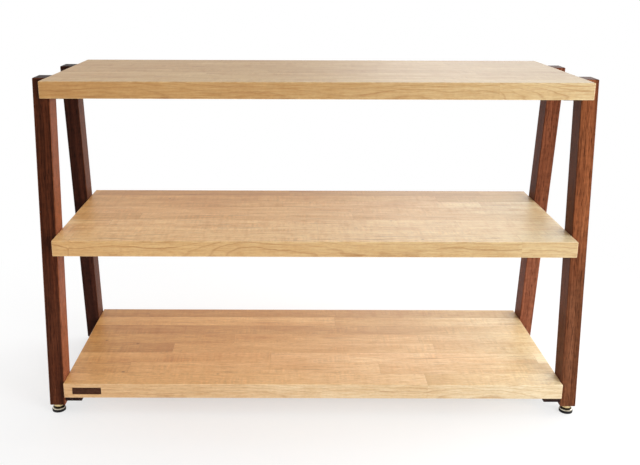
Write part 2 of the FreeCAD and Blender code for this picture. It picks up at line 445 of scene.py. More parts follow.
begin()
bpy.ops.mesh.primitive_cylinder_add(
    vertices=HEAD_SIDES, radius=HEAD_RADIUS, depth=HEAD_HIGH, location=(0, 0, 0),
)
screw = settle("screw_head")
open_mesh()
pick_faces(screw, lambda middle, normal: normal.z < -FACING)
bpy.ops.mesh.bevel(offset=RIM_ROUNDING, segments=RIM_SEGMENTS, affect="EDGES")
close_mesh()
head_low = -HEAD_HIGH / 2
for x, y in ((SLOT_HALF_LONG, SLOT_HALF_WIDE), (SLOT_HALF_WIDE, SLOT_HALF_LONG)):
    arm = add_block("arm", (-x, -y, head_low - SLOT_CLEAR), (x, y, head_low + SLOT_DEEP))
    cut_away(screw, arm)
activate(screw)
bpy.ops.object.shade_smooth_by_angle(angle=TURNED_CORNER)
print("screw head faces:", len(screw.data.polygons))

# %% Screws under the bearers
SCREW_INSET = 0.09
SCREW_STEPS_AND_TURNS = ((-1, 0.3), (0, 1.1), (1, 0.7))

screw_sets = []
for level in LEVELS:
    for side in ("left", "right"):
        low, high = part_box(f"{level}_{side}_bearer")
        spread = (high.y - low.y) / 2 - SCREW_INSET
        copies = []
        for step, angle in SCREW_STEPS_AND_TURNS:
            activate(screw)
            bpy.ops.object.duplicate(linked=False)
            bpy.ops.transform.rotate(value=angle, orient_axis="Z", center_override=(0, 0, 0))
            bpy.ops.transform.translate(value=((low.x + high.x) / 2, step * spread, low.z - HEAD_HIGH / 2))
            copies.append(settle("copy"))
        for copy in copies:
            copy.select_set(True)
        bpy.ops.object.join()
        screw_set = settle(f"{level}_{side}_bearer_screws")
        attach(screw_set, "rack")
        screw_sets.append(screw_set)
bpy.data.objects.remove(screw)
print("screw sets:", len(screw_sets))

# %% [markdown]
# ## Painting with nodes
# Every finish below is a small network of nodes that reads Object coordinates, in metres.
# A picture could be wrapped round each piece, but its lines would have to be matched at every corner.
# A pattern that runs through the solid meets itself: the end of a board shows the ends of its lines.
# A few helpers keep the networks short, by adding a node and filling its sockets in one line.

# %% Node helpers
# the helpers add their nodes to the tree that lies on the bench
bench = SimpleNamespace(tree=None)


def fill(socket, value):
    """Link a socket to another node's output, or set the socket's own value."""
    if isinstance(value, bpy.types.NodeSocket):
        bench.tree.links.new(value, socket)
    else:
        socket.default_value = value


def add(kind, *values, **settings):
    """Add a node, set its options, and fill its sockets in order; None leaves a socket as it is."""
    node = bench.tree.nodes.new("ShaderNode" + kind)
    for key, value in settings.items():
        setattr(node, key, value)
    for socket, value in zip(node.inputs, values):
        if value is not None:
            fill(socket, value)
    return node


def feed(node, values):
    """Fill sockets by their names."""
    for name, value in values.items():
        fill(node.inputs[name], value)


def calc(operation, *values):
    """One step of arithmetic."""
    return add("Math", *values, operation=operation).outputs[0]


def times(first, second):
    return calc("MULTIPLY", first, second)


def minus(first, second):
    return calc("SUBTRACT", first, second)


def scaled(value, gain, base):
    """A value times its gain, on top of a base."""
    return calc("MULTIPLY_ADD", value, gain, base)


def pick(switch, off, on):
    """The first value where the switch is 0, the second where it is 1."""
    return scaled(switch, minus(on, off), off)


print("helpers made for sockets, nodes and arithmetic")

# %% Vectors and noise
def join(x, y, z):
    return add("CombineXYZ", x, y, z).outputs[0]


def split(vector):
    return add("SeparateXYZ", vector).outputs


def stretch(vector, scale):
    """Scale a vector unevenly, which stretches the pattern that reads it."""
    return add("VectorMath", vector, scale, operation="MULTIPLY").outputs[0]


def reach_of(x, y):
    """How far a point of a plane is from the plane's middle."""
    return add("VectorMath", join(x, y, 0.0), operation="LENGTH").outputs["Value"]


def normals():
    """The three values of the direction that a face looks in."""
    return split(add("TexCoord").outputs["Normal"])


def noise(vector, scale, detail=2.0, roughness=0.5):
    """A soft random pattern; scale says how often it changes in a metre, along each axis."""
    node = add("TexNoise", stretch(vector, scale))
    feed(node, {"Scale": 1, "Detail": detail, "Roughness": roughness})
    return node.outputs[0]


def chance(x, y, z):
    """Three random numbers for a whole cell, and a fourth, from the cell's own three numbers."""
    dice = add("TexWhiteNoise", join(x, y, z), noise_dimensions="3D")
    return add("SeparateColor", dice.outputs["Color"]).outputs, dice.outputs["Value"]


print("helpers made for vectors, noise and chance")

# %% Colour helpers
def srgb(red, green, blue):
    """A colour as read from a screen, 0 to 255, turned into the linear values that shaders use."""
    linear = []
    for value in (red, green, blue):
        share = value / 255
        linear.append(share / 12.92 if share <= 0.04045 else ((share + 0.055) / 1.055) ** 2.4)
    return (*linear, 1)


def ramp(value, *stops, interpolation="LINEAR"):
    """Colour ramp; a stop is a place and a colour, or a place and a grey level."""
    node = add("ValToRGB", value)
    node.color_ramp.interpolation = interpolation
    elements = node.color_ramp.elements
    while len(elements) < len(stops):
        elements.new(0.5)
    for element, (place, colour) in zip(elements, stops):
        element.position = place
        element.color = colour if isinstance(colour, tuple) else (colour, colour, colour, 1)
    return node.outputs[0]


def mix(factor, first, second, blend="MIX"):
    """Two colours mixed; sockets 6 and 7 of a Mix node are its colour sockets."""
    node = add("Mix", data_type="RGBA", blend_type=blend)
    fill(node.inputs[0], factor)
    fill(node.inputs[6], first)
    fill(node.inputs[7], second)
    return node.outputs[2]


def shaded(factor, colour, shade):
    """The colour, multiplied by another one as far as the factor says."""
    return mix(factor, colour, shade, "MULTIPLY")


def lit(colour, level):
    """The colour, made lighter or darker by a level."""
    return add("VectorMath", colour, None, None, level, operation="SCALE").outputs[0]


def mottled(colour, vector, scale, depth):
    """The colour with lighter and darker marks; depth is how strong they are."""
    mark = minus(noise(vector, scale), 0.5)
    return lit(colour, scaled(mark, depth, 1.0))


HONEY = srgb(206, 173, 123)
print("honey tone of maple as written:", [round(c, 3) for c in HONEY[:3]])

# %% Material helpers
def new_finish(name):
    """An empty material with its shader, and the Object coordinates that its pattern reads."""
    material = bpy.data.materials.new(name)
    material.use_nodes = True
    bench.tree = material.node_tree
    shader = bench.tree.nodes["Principled BSDF"]
    place = add("TexCoord").outputs["Object"]
    return material, shader, place


def bump(shader, height, strength, distance):
    """Let a height tilt the light on the surface, without moving the surface."""
    node = add("Bump")
    feed(node, {"Strength": strength, "Distance": distance, "Height": height})
    feed(shader, {"Normal": node.outputs[0]})


def dress(piece, material):
    """Give a piece its finish; a CAD node already has a slot to put it in."""
    if piece.material_slots:
        for slot in piece.material_slots:
            slot.material = material
    else:
        piece.data.materials.append(material)


print("helpers made for finishes and bumps")

# %% [markdown]
# ## Edge-glued maple
# A slab is glued up from eight rows of staves, and each row is two or more lengths set end to end.
# Each length could be a block of its own, but the slab is one glued piece, so the material draws its rows.
# Floor turns a coordinate into a row number, and white noise turns that number into the row's luck.

# %% Rows and lengths
ROWS = 8
FRONT_LENGTH = 1.05
SHORTEST_LENGTH, LENGTH_RANGE = 0.45, 0.5
# the number of the length at the slab's middle, and of the one past the front row's joint
MIDDLE_NUMBER, NUMBER_RANGE = 20.0, 7.0
JOINT_NUMBER = 40
# keeps the slab's own front and back faces clear of the edges of their rows
HAIR = 0.0002


def stave_at(place, slab):
    """The row and length that a point of a slab lies in, and its distances from the joints round it."""
    row_wide = (slab.high.y - slab.low.y + 2 * HAIR) / ROWS
    x, y, z = split(place)
    across = calc("DIVIDE", calc("ADD", y, HAIR - slab.low.y), row_wide)
    row = calc("FLOOR", across)
    in_front = calc("LESS_THAN", row, 0.5)
    luck, _ = chance(row, slab.seed, 0.5)
    usual_length = scaled(luck[0], LENGTH_RANGE, SHORTEST_LENGTH)
    start = scaled(luck[1], NUMBER_RANGE, MIDDLE_NUMBER)
    usual = calc("ADD", calc("DIVIDE", x, usual_length), start)
    front_start = JOINT_NUMBER - slab.front_joint / FRONT_LENGTH
    front = scaled(x, 1 / FRONT_LENGTH, front_start)
    along = pick(in_front, usual, front)
    long = pick(in_front, usual_length, FRONT_LENGTH)
    return SimpleNamespace(
        x=x, y=y, z=z, row=row, in_front=in_front, piece=calc("FLOOR", along),
        row_middle=scaled(row, row_wide, slab.low.y - HAIR + row_wide / 2),
        beside=times(calc("PINGPONG", across, 0.5), row_wide),
        before=times(calc("PINGPONG", along, 0.5), long),
    )


print("rows in a slab:", ROWS)

# %% Luck and faces
ROW_SHIFT, PIECE_SHIFT, SIDE_SHIFT = 3.7, 1.9, 5.0


def add_luck(slab, stave):
    """Give a length its own random numbers, and its own part of the noise."""
    stave.heart_luck, stave.tone_luck = chance(stave.row, stave.piece, slab.seed + 0.25)
    stave.ring_luck, stave.curl_luck = chance(stave.piece, stave.row, slab.seed + 0.75)
    stave.shift = scaled(stave.row, ROW_SHIFT, times(stave.piece, PIECE_SHIFT))
    shifted_x = calc("ADD", stave.x, stave.shift)
    stave.shifted = join(shifted_x, calc("ADD", stave.y, SIDE_SHIFT), stave.z)


def add_faces(slab, stave):
    """Find the front edge and the end grain, and how far along the slab a point is."""
    facing_x, facing_y, _ = normals()
    stave.on_edge = ramp(times(facing_y, -1.0), (0.4, 0.0), (0.8, 1.0))
    stave.on_end = ramp(calc("ABSOLUTE", facing_x), (0.55, 0.0), (0.85, 0.5))
    from_left = minus(stave.x, slab.low.x)
    stave.share = calc("DIVIDE", from_left, slab.high.x - slab.low.x)
    stave.past_joint = calc("GREATER_THAN", stave.x, slab.front_joint)


print("pattern shift between rows:", ROW_SHIFT, "m")

# %% [markdown]
# Growth rings could be painted as stripes, but real ones are shells round the heart of the tree.
# So a ring is a distance from the heart line, cut into equal steps, with late wood at the end of a step.
# A slow drift along the trunk bends them, and a small wobble keeps their lines from looking drawn.
# Worn edges need the distance to the nearest edge of a block.
# On a face one of the three distances to the sides is nothing, so the middle one is the answer.

# %% Rings and worn edges
WOBBLE = (12, 70, 70)
SCUFFS = (70, 70, 70)
WEAR_FADE = 170.0


def ring_lines(across, up, along, heart, drift, swirl, wobble, spacing, late):
    """Late-wood lines round a heart line; late is the share of a ring that they take up.

    drift is how far the trunk's slow bends move a ring, and swirl how quickly they change across it.
    wobble is how far the quick bends move it.
    """
    off_x = minus(across, heart[0])
    off_y = minus(up, heart[1])
    point = join(along, across, up)
    slow = noise(point, (1, swirl, swirl), 1.5)
    quick = noise(point, WOBBLE, 3.0)
    far = scaled(slow, drift, reach_of(off_x, off_y))
    far = scaled(quick, wobble, far)
    step = calc("FRACT", calc("DIVIDE", far, spacing))
    return ramp(step, (0.0, 0.1), (late / 2, 0.0), (1 - late, 0.1), (1 - late / 3, 1.0), (1.0, 0.3))


def edge_distance(coordinates, low, high):
    """How far a point on the surface of a block is from the block's nearest edge."""
    gaps = []
    for coordinate, first, last in zip(coordinates, low, high):
        from_middle = calc("ABSOLUTE", minus(coordinate, (first + last) / 2))
        gaps.append(minus((last - first) / 2, from_middle))
    smaller = calc("MINIMUM", gaps[0], gaps[1])
    larger = calc("MAXIMUM", gaps[0], gaps[1])
    return calc("MAXIMUM", smaller, calc("MINIMUM", larger, gaps[2]))


def worn_edges(place, distance):
    """1 along rubbed edges, broken up by scuffs, and 0 a few millimetres in."""
    scuffs = noise(place, SCUFFS, 3.0)
    return ramp(scaled(distance, WEAR_FADE, scuffs), (0.42, 1.0), (0.85, 0.0))


print("wear is gone within", round(MM_PER_M * 0.85 / WEAR_FADE, 1), "mm of an edge")

# %% [markdown]
# No two lengths come from the same part of a tree, so one colour for a whole slab would look like plastic.
# A picture could be laid over it, but tones can be changed one by one.
# Each row has a tone for either end, which luck changes a little for each length, and the row tones also
# carry painted shade and light from front to back.
# The front edge has tones of its own, partly for its grain and partly painted light. Tints paint warmer
# light on the left end of a slab and cooler light on the right one, and levels paint the tops lighter or
# darker along the slab.

# %% Maple tones
MAPLE_TONES = (
    (0.0, srgb(184, 147, 97)), (0.35, HONEY), (0.65, srgb(222, 192, 146)), (1.0, srgb(238, 217, 178)),
)
JOINT_STEP = 0.08
FACE_LIGHT_TINT_CURVE, PAINTED_LIGHT_CURVE = 1.5, 2.0


def top_tone(slab, stave):
    """The tone of the top face, row by row, with painted shade and light from front to back; the front row
    changes at its joint.
    """
    place_in_rows = calc("DIVIDE", calc("ADD", stave.row, 0.5), float(ROWS))
    end_tones = []
    for tones in slab.row_tones:
        stops = [(index / ROWS, tone) for index, tone in enumerate(tones, start=1)]
        end_tones.append(ramp(place_in_rows, *stops, interpolation="CONSTANT"))
    row_tone = pick(ramp(stave.share, (0.7, 0.0), (0.95, 1.0)), *end_tones)
    luck = minus(stave.tone_luck, 0.5)
    usual = scaled(luck, slab.spread, row_tone)
    past = minus(stave.x, slab.front_joint)
    past_share = calc("DIVIDE", past, slab.high.x - slab.front_joint)
    before_joint, after_joint, right_end = slab.front_row
    front = pick(stave.past_joint, before_joint, pick(past_share, after_joint, right_end))
    return pick(stave.in_front, usual, front)


def edge_tone(slab, stave):
    """The tone of the front edge, with a step at the joint and another level midway; it is partly painted
    light, as the front faces take the light otherwise than the tops.
    """
    tone = scaled(stave.past_joint, JOINT_STEP, pick(stave.share, *slab.front_tones))
    centre = ramp(stave.share, (0.2, 0.0), (0.46, 1.0), (0.75, 0.0), interpolation="EASE")
    return scaled(centre, slab.centre_gain, tone)


def maple_colour(slab, stave):
    """The plain colour of the wood before any grain, with painted light tinted and levelled along the slab.
    """
    # partly painted light: a face that looks to the front takes the front edge's own tones
    tone = pick(stave.on_edge, top_tone(slab, stave), edge_tone(slab, stave))
    colour = ramp(tone, *MAPLE_TONES)
    # painted light: the tints stand for warmer light at a slab's left end and cooler light at its right end
    edge_colour = mix(stave.share, *[stretch(colour, tint) for tint in slab.edge_tints])
    face_share = calc("POWER", stave.share, FACE_LIGHT_TINT_CURVE)
    face_colour = mix(face_share, *[stretch(colour, tint) for tint in slab.face_tints])
    # painted light: the slab's light levels make its tops lighter or darker towards the right end
    level = pick(calc("POWER", stave.share, PAINTED_LIGHT_CURVE), *slab.light)
    return mix(stave.on_edge, lit(face_colour, level), edge_colour)


print("maple tones run from tan to cream in", len(MAPLE_TONES), "stops")

# %% [markdown]
# The strips stand on edge: the heart lies before or behind a row's middle, at about the slab's height.
# The rings therefore run straight along the top of the slab and open into flames on its front.
# Fibres, clouds and curly figure are noise drawn out along or across the grain.
# A wave pattern could make the curl, but its bars would be too regular.

# %% Maple rings
RING_PATCHES = (6, 12, 25)
LATE_WOOD = srgb(178, 140, 98)
# pairs are for the rows behind and for the front row
HEART_NEAREST, HEART_RANGE = (0.045, 0.015), 0.04
HEART_RISE = 0.03
RING_SPACINGS, SPACING_RANGE = (0.0017, 0.0026), 0.0012
TRUNK_PACES = (3.0, 2.1)


def maple_rings(slab, stave):
    """Late-wood lines, strong in patches, round a heart line of each length's own."""
    luck = stave.heart_luck
    behind = calc("MAXIMUM", stave.in_front, calc("GREATER_THAN", luck[0], 0.5))
    reach = scaled(luck[1], HEART_RANGE, pick(stave.in_front, *HEART_NEAREST))
    heart_y = scaled(pick(behind, -1.0, 1.0), reach, stave.row_middle)
    usual_rise = minus(luck[2], 0.5)
    front_rise = scaled(luck[2], -0.4, -0.4)
    rise = pick(stave.in_front, usual_rise, front_rise)
    heart_z = scaled(rise, HEART_RISE, (slab.low.z + slab.high.z) / 2)
    usual_spacing = pick(stave.in_front, *RING_SPACINGS)
    spacing = scaled(stave.ring_luck[0], SPACING_RANGE, usual_spacing)
    trunk = scaled(stave.x, pick(stave.in_front, *TRUNK_PACES), stave.shift)
    rings = ring_lines(
        stave.y, stave.z, trunk, (heart_y, heart_z),
        drift=0.05, swirl=2.5, wobble=0.0022, spacing=spacing, late=0.24,
    )
    patches = ramp(noise(stave.shifted, RING_PATCHES, 1.0), (0.4, 0.45), (0.62, 1.0))
    depth = times(patches, scaled(stave.ring_luck[1], 0.3, 0.45))
    depth = times(depth, pick(stave.on_edge, 0.6, 1.0))
    return times(rings, depth)


print("late wood as written:", [round(c, 3) for c in LATE_WOOD[:3]])

# %% Maple grain
CLOUDS = (5, 42, 42)
FIBRES = (20, 360, 360)
CURL = (85, 14, 14)
RIPPLE_PATCHES = (9, 26, 26)
RIPPLE = (170, 20, 20)
RAYS = (150, 330, 330)
RAY_DEPTH = 0.3
CLOUD_TAN = srgb(222, 194, 160)
FIBRE_TAN = srgb(218, 194, 162)
CURL_TAN = srgb(236, 220, 200)
# for the rows behind and for the front row
CLOUD_DEPTHS = (0.65, 0.2)


def maple_grain(slab, stave, colour):
    """Clouds, rings and fibres along the grain, with curl, ripple and rays across it."""
    cloud = ramp(noise(stave.shifted, CLOUDS, 2.5), (0.35, 0.0), (0.75, 1.0))
    cloudy = times(cloud, pick(stave.in_front, *CLOUD_DEPTHS))
    colour = shaded(cloudy, colour, CLOUD_TAN)
    colour = shaded(maple_rings(slab, stave), colour, LATE_WOOD)
    fibre = noise(stave.shifted, FIBRES, 4.0, 0.65)
    colour = shaded(scaled(fibre, 2.3, -0.87), colour, FIBRE_TAN)
    curl = ramp(noise(stave.shifted, CURL), (0.45, 0.0), (0.75, 1.0))
    curly = times(ramp(stave.curl_luck, (0.35, 0.1), (0.8, 0.6)), curl)
    colour = shaded(times(curly, pick(stave.on_edge, 1.0, 0.4)), colour, CURL_TAN)
    rippled = ramp(noise(stave.shifted, RIPPLE_PATCHES, 1.0), (0.48, 0.06), (0.66, 0.5))
    rippled = times(rippled, pick(stave.on_edge, 1.0, 0.15))
    colour = mottled(colour, stave.shifted, RIPPLE, rippled)
    return mottled(colour, stave.shifted, RAYS, RAY_DEPTH), fibre


print("fibres change about every", round(MM_PER_M / FIBRES[1], 1), "mm across the grain")

# %% [markdown]
# Small things make the wood believable: dark flecks, mineral streaks in some lengths and a few pin knots.
# Glue lines and butt joints could be cut as grooves, but on a planed slab they are only thin dark lines.
# So they are drawn from the distances to the joints, and the bump only sinks them a little.

# %% Maple marks and joints
FLECKS = (70, 460, 460)
STREAKS = (7, 130, 130)
KNOTS = (9, 14, 14)
STREAKY_ABOVE = 0.45
FLECK_BROWN = srgb(158, 112, 68)
STREAK_BROWN = srgb(150, 104, 66)
KNOT_BROWN = srgb(112, 70, 42)
GLUE_BROWN = srgb(138, 96, 58)


def maple_marks(stave, place, colour):
    """Flecks, streaks and pin knots."""
    fleck = ramp(noise(stave.shifted, FLECKS, 1.0), (0.6, 0.0), (0.7, 0.32))
    colour = mix(fleck, colour, FLECK_BROWN)
    streak = ramp(noise(stave.shifted, STREAKS), (0.62, 0.0), (0.7, 0.5))
    streak = times(streak, calc("GREATER_THAN", stave.ring_luck[2], STREAKY_ABOVE))
    streak = times(streak, pick(stave.on_edge, 1.0, 0.25))
    colour = mix(streak, colour, STREAK_BROWN)
    knots = add("TexVoronoi", stretch(place, KNOTS))
    feed(knots, {"Scale": 1})
    knot = ramp(knots.outputs["Distance"], (0.0, 0.85), (0.02, 0.7), (0.05, 0.0))
    return mix(knot, colour, KNOT_BROWN), fleck


def maple_joints(stave):
    """Glue lines between rows and butt joints between lengths, by their distances in millimetres."""
    glue = ramp(times(stave.beside, MM_PER_M), (0.0, 0.35), (0.5, 0.0))
    butt = ramp(times(stave.before, MM_PER_M), (0.0, 0.4), (0.7, 0.0))
    return calc("MAXIMUM", glue, butt)


print("lengths with mineral streaks, about:", round(100 * (1 - STREAKY_ABOVE)), "in 100")

# %% [markdown]
# The layers go together like a picture: colour, grain, marks and joints.
# The end grain drinks more oil and is darker, and the paler, smoother rubbed edges lie over everything.
# One finish could serve all three slabs, but no two slabs match, so each has its own traits.

# %% Maple finish
END_TAN = srgb(206, 172, 132)
RUBBED_MAPLE = srgb(240, 214, 172)
RUBBED_SHARE = 0.3
RUBBED_POLISH = -0.08
FIBRE_ROUGH = 0.14
FIBRE_HIGH = 0.6


def maple_finish(name, slab):
    """The whole finish of one slab."""
    material, shader, place = new_finish(name)
    stave = stave_at(place, slab)
    add_luck(slab, stave)
    add_faces(slab, stave)
    colour, fibre = maple_grain(slab, stave, maple_colour(slab, stave))
    colour, fleck = maple_marks(stave, place, colour)
    joint = maple_joints(stave)
    colour = mix(joint, colour, GLUE_BROWN)
    colour = shaded(stave.on_end, colour, END_TAN)
    to_edge = edge_distance((stave.x, stave.y, stave.z), slab.low, slab.high)
    rubbed = worn_edges(place, to_edge)
    colour = mix(times(rubbed, RUBBED_SHARE), colour, RUBBED_MAPLE)
    rough = scaled(fibre, FIBRE_ROUGH, slab.rough - FIBRE_ROUGH / 2)
    rough = scaled(rubbed, RUBBED_POLISH, rough)
    feed(shader, {"Base Color": colour, "Roughness": rough, "Specular IOR Level": slab.gloss})
    height = minus(times(fibre, FIBRE_HIGH), calc("MAXIMUM", fleck, joint))
    bump(shader, height, strength=0.12, distance=0.0004)
    return material


print("share of paler wood on rubbed edges:", RUBBED_SHARE)

# %% Slabs and their traits
# Row tones fall towards the back of the bottom and middle slabs as painted shade under the slab above, the
# front row's tones are raised as painted light from the front, and the top slab's lower tones are painted
# shade against the extra light on its open top.
# Tones run from 0 for tan to 1 for cream, and pairs are for a slab's left and right ends.
# front_row is the front row's top before its joint, past it and at the right end.
# centre_gain is how much paler the front edge is midway, and spread how much a row's lengths differ.
# edge_tints, face_tints and light are painted light: warmer at a slab's left end, cooler at its right end,
# and lighter or darker along it.
slab_traits = {
    "bottom": {
        "seed": 3.0, "front_joint": 0.28, "gloss": 0.4, "rough": 0.42, "spread": 0.4,
        "front_tones": (0.75, 0.8), "centre_gain": 0.12, "front_row": (0.65, 0.27, 0.75),
        "row_tones": ((0.58, 0.74, 0.36, 0.3, 0.12, 0.32, 0.0), (0.44, 0.58, 0.36, 0.42, 0.6, 0.72, 0.06)),
        "edge_tints": ((1.05, 0.925, 0.84), (0.91, 1.04, 1.19)),
        "face_tints": ((1.1, 0.93, 0.69), (0.91, 1.09, 1.3)), "light": (1.03, 1.42),
    },
    "middle": {
        "seed": 4.0, "front_joint": 0.48, "gloss": 0.38, "rough": 0.43, "spread": 0.35,
        "front_tones": (0.5, 0.32), "centre_gain": 0.04, "front_row": (0.9, 0.9, 1.1),
        "row_tones": ((1.0, 1.0, 0.62, 0.68, 0.48, 0.24, 0.0), (0.9, 0.8, 0.68, 1.0, 1.1, 0.55, 0.0)),
        "edge_tints": ((1.04, 0.95, 0.79), (0.9, 1.05, 1.19)),
        "face_tints": ((1.11, 0.97, 0.75), (0.955, 1.05, 1.1)), "light": (1.12, 1.04),
    },
    "top": {
        "seed": 5.0, "front_joint": 0.40, "gloss": 0.33, "rough": 0.44, "spread": 0.2,
        "front_tones": (0.0, 0.34), "centre_gain": -0.1, "front_row": (0.3, 0.3, 0.4),
        "row_tones": ((0.22, 0.26, 0.2, 0.26, 0.24, 0.18, 0.18), (0.22, 0.2, 0.2, 0.26, 0.16, 0.1, 0.14)),
        "edge_tints": ((1.03, 0.96, 0.81), (0.88, 1.05, 1.22)),
        "face_tints": ((0.96, 0.98, 0.96), (0.82, 0.92, 0.9)), "light": (1.0, 0.88),
    },
}
for level, traits in slab_traits.items():
    low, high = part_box(f"{level}_shelf")
    slab = SimpleNamespace(low=low, high=high, **traits)
    dress(slabs[level], maple_finish(f"{level}_maple", slab))
print("maple finishes:", len(slab_traits))

# %% [markdown]
# ## Oiled walnut
# The legs are sawn from walnut with the grain running up their length, so the pattern must lean as they do.
# It could be turned with each leg, but taking a share of the height from the depth is simpler.
# Dark pores, a mottle across the grain and bands of light and dark brown make it look like walnut.
# The front and the sides of a leg differ in tone, and so do its two halves; both differences are painted
# light and shade. Its end grain is darker.

# %% Walnut tones
BANDS = (75, 75, 2.2)
WALNUT_CLOUDS = (22, 22, 6)
WALNUT_CLOUD = srgb(220, 196, 180)
# green and blue gains that make the lower half's painted light greyer
GREEN_GAIN, BLUE_GAIN = 1.1, 1.3


def walnut_colour(wood, line, height, facing_x):
    """Bands along the grain, a side tone and a greyer lower half, both painted light and shade."""
    band = noise(line, BANDS, 3.0, 0.6)
    colour = ramp(band, (0.28, wood.tones[0]), (0.5, wood.tones[1]), (0.72, wood.tones[2]))
    # painted light and shade: the sides take their own tone for how they face the light from the right
    side = ramp(calc("ABSOLUTE", facing_x), (0.55, 0.0), (0.85, 0.75))
    colour = mix(side, colour, wood.side_tone)
    # painted light and shade: the lower half is made lighter or darker, and greyer, than the upper one
    upper = ramp(calc("DIVIDE", height, cad_box[1].z), (0.4, 0.0), (0.6, 1.0))
    level = pick(side, *wood.foot_levels)
    greyer = join(level, times(level, GREEN_GAIN), times(level, BLUE_GAIN))
    colour = mix(upper, stretch(colour, greyer), colour)
    cloud = ramp(noise(line, WALNUT_CLOUDS), (0.42, 0.0), (0.72, 0.6))
    return shaded(cloud, colour, WALNUT_CLOUD)


print("green and blue gains of the lower half:", GREEN_GAIN, BLUE_GAIN)

# %% Walnut finish
MOTTLE = (60, 60, 130)
WALNUT_FIBRES = (420, 420, 20)
PORES = (900, 900, 45)
TRUNK_PACE = 1.7
SEED_STEP = 2.3
RING_BROWN = srgb(176, 150, 134)
FIBRE_BROWN = srgb(182, 162, 148)
PORE_BROWN = srgb(110, 92, 84)
END_BROWN = srgb(140, 128, 124)


def walnut_finish(name, wood):
    """The whole finish of one leg or bearer.

    low and high are the corners of the straightened piece, and grain is the axis that its fibres follow.
    foot_levels is the painted light of the lower half against the upper one, on the front and on the sides.
    end_shade is how far the end grain has darkened.
    """
    material, shader, place = new_finish(name)
    axes = dict(zip("xyz", split(place)))
    axes["y"] = scaled(axes["z"], -wood.lean, axes["y"])
    facing = dict(zip("xyz", normals()))
    first, second = [axes[letter] for letter in "xyz" if letter != wood.grain]
    along = calc("ADD", axes[wood.grain], wood.seed * SEED_STEP)
    line = join(first, second, along)

    colour = walnut_colour(wood, line, axes["z"], facing["x"])
    colour = mottled(colour, line, MOTTLE, 0.6)
    rings = ring_lines(
        first, second, times(along, TRUNK_PACE), wood.heart,
        drift=0.03, swirl=8, wobble=0.002, spacing=0.0056, late=0.34,
    )
    colour = shaded(times(rings, 0.45), colour, RING_BROWN)
    fibre = noise(line, WALNUT_FIBRES, 4.0, 0.65)
    colour = shaded(scaled(fibre, 1.4, -0.4), colour, FIBRE_BROWN)
    pore = ramp(noise(line, PORES, 1.0), (0.55, 0.0), (0.65, 0.7))
    colour = shaded(pore, colour, PORE_BROWN)

    end = ramp(calc("ABSOLUTE", facing[wood.grain]), (0.6, 0.0), (0.9, wood.end_shade))
    colour = shaded(end, colour, END_BROWN)
    rubbed = worn_edges(place, edge_distance(axes.values(), wood.low, wood.high))
    # the side tone is also the colour of rubbed edges
    colour = mix(times(rubbed, 0.35), colour, wood.side_tone)
    rough = scaled(fibre, 0.16, 0.44)
    rough = scaled(rubbed, -0.06, rough)
    feed(shader, {"Base Color": colour, "Roughness": rough, "Specular IOR Level": 0.06})
    bump(shader, minus(times(fibre, FIBRE_HIGH), pore), strength=0.18, distance=0.0004)
    return material


print("pores change about every", round(MM_PER_M / PORES[2]), "mm along the grain")

# %% Legs
LEG_DEEP = 0.055
LEG_END_SHADE = 0.85
# how far the heart of the tree lies outside a leg, to the right and in depth
LEG_HEARTS = {"front": (0.07, -0.08), "rear": (0.05, 0.15)}
# side_tone paints the light and shade on a leg's sides, and colours its rubbed edges.
leg_traits = {
    "front_left": {
        "tones": (srgb(55, 27, 14), srgb(76, 38, 21), srgb(98, 52, 30)),
        "side_tone": srgb(163, 97, 62), "foot_levels": (1.3, 1.15),
    },
    "rear_left": {
        "tones": (srgb(43, 21, 14), srgb(60, 31, 21), srgb(82, 45, 31)),
        "side_tone": srgb(108, 65, 42), "foot_levels": (1.1, 1.0),
    },
    "front_right": {
        "tones": (srgb(102, 58, 35), srgb(135, 80, 48), srgb(159, 99, 64)),
        "side_tone": srgb(94, 55, 39), "foot_levels": (0.64, 1.4),
    },
    "rear_right": {
        "tones": (srgb(90, 50, 33), srgb(121, 70, 46), srgb(144, 87, 59)),
        "side_tone": srgb(109, 64, 46), "foot_levels": (1.28, 1.3),
    },
}
for seed, (end, side) in enumerate(CORNERS, start=1):
    corner = f"{end}_{side}"
    low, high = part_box(f"{corner}_leg")
    lean = (high.y - low.y - LEG_DEEP) / (high.z - low.z)
    if end == "front":
        toe = low.y - lean * low.z
    else:
        lean = -lean
        toe = high.y - LEG_DEEP - lean * low.z
    wood = SimpleNamespace(
        seed=seed, grain="z", lean=lean, end_shade=LEG_END_SHADE,
        low=Vector((low.x, toe, low.z)), high=Vector((high.x, toe + LEG_DEEP, high.z)),
        heart=(high.x + LEG_HEARTS[end][0], toe + LEG_HEARTS[end][1]), **leg_traits[corner],
    )
    dress(nodes[f"{corner}_leg"], walnut_finish(f"{corner}_walnut", wood))
print("walnut legs:", len(leg_traits))

# %% [markdown]
# ## Dark bearers
# The bearers are strips of dark timber with the grain running front to back, and their almost black-brown
# tones are partly painted shade from under the slabs.
# They could have their own network, but walnut's serves again, with another axis and darker tones.

# %% Bearers
BEARER_HEART = (-0.06, 0.09)
# dark stain, and partly painted shade from under the slabs
bearer_stain_and_shade_tones = (srgb(28, 18, 15), srgb(48, 32, 27), srgb(70, 48, 41))
bearers = [name for name in nodes if name.endswith("_bearer")]
for seed, name in enumerate(bearers, start=11):
    low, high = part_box(name)
    wood = SimpleNamespace(
        seed=seed, grain="y", lean=0.0, end_shade=0.0, low=low, high=high,
        heart=(low.x + BEARER_HEART[0], high.z + BEARER_HEART[1]),
        tones=bearer_stain_and_shade_tones, side_tone=bearer_stain_and_shade_tones[2], foot_levels=(1.0, 1.0),
    )
    dress(nodes[name], walnut_finish(f"stain_and_shade_{name}", wood))
print("bearers:", len(bearers))

